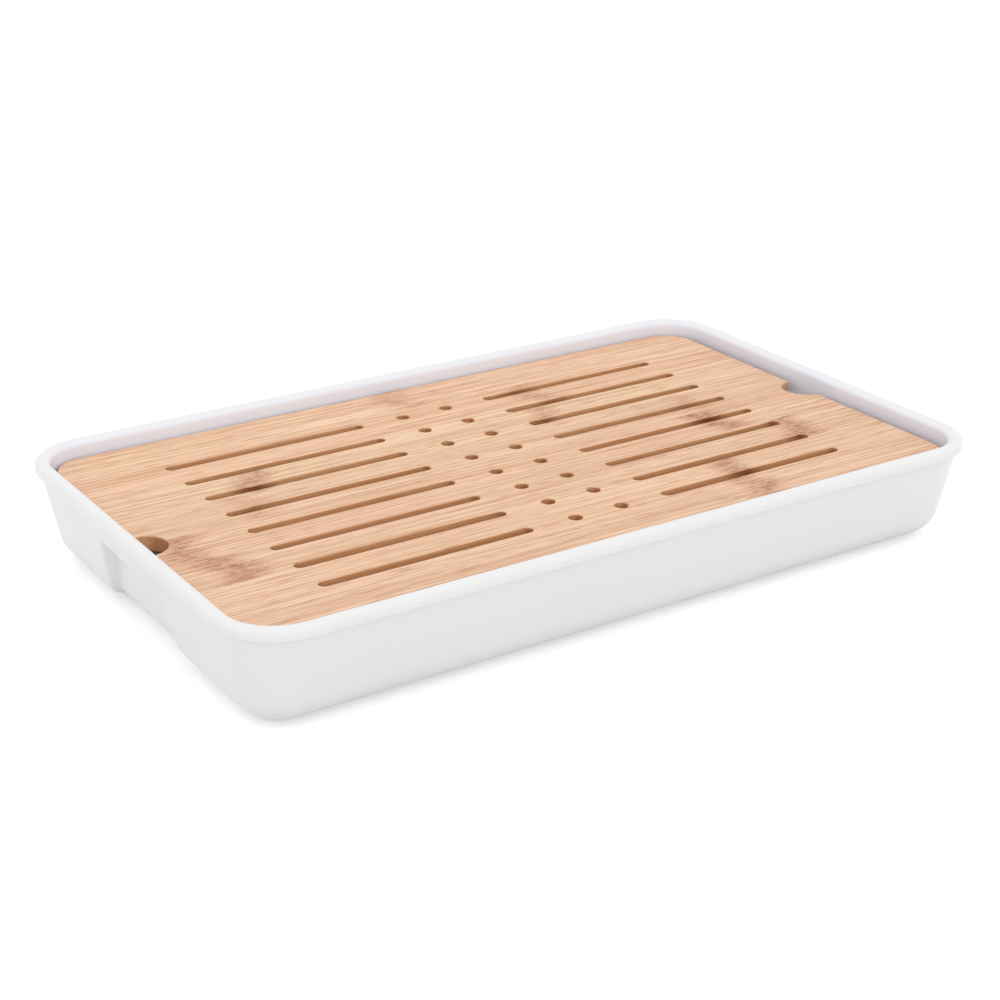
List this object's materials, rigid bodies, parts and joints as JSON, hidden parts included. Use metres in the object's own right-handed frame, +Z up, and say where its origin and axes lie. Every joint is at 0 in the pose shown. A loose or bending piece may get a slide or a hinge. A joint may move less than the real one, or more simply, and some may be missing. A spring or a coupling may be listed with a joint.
{
  "type": "gongfu tea tray",
  "caption": "Low rectangular tea tray: a white moulded basin with finger recesses holds waste water under a lift-out slotted bamboo board.",
  "frame": {"origin": "On the surface the tray stands on, under the middle of the tray.", "axes": "+X along the tray's length, +Y across it to the back, +Z up."},
  "size_m": [0.3674, 0.2238, 0.0475],
  "materials": {
    "melamine": "white melamine, satin gloss",
    "bamboo": "carbonised bamboo, sanded and oiled, satin",
    "screw_steel": "plain stainless",
    "silicone": "matt translucent grey"
  },
  "bodies": {
    "tray": {"tray_shell": "melamine", "foot_front_left": "silicone", "foot_back_left": "silicone", "foot_front_right": "silicone", "foot_back_right": "silicone"},
    "board": {"stave_1": "bamboo", "stave_2": "bamboo", "stave_3": "bamboo", "stave_4": "bamboo", "stave_5": "bamboo", "stave_6": "bamboo", "stave_7": "bamboo", "stave_8": "bamboo", "batten_left": "bamboo", "batten_right": "bamboo", "batten_screws_left": "screw_steel", "batten_screws_right": "screw_steel"}
  },
  "joints": [
    {"name": "board_lift", "type": "slide", "parent": "tray", "child": "board", "axis": [0, 0, 1], "range_m": [0, 0.06]}
  ]
}
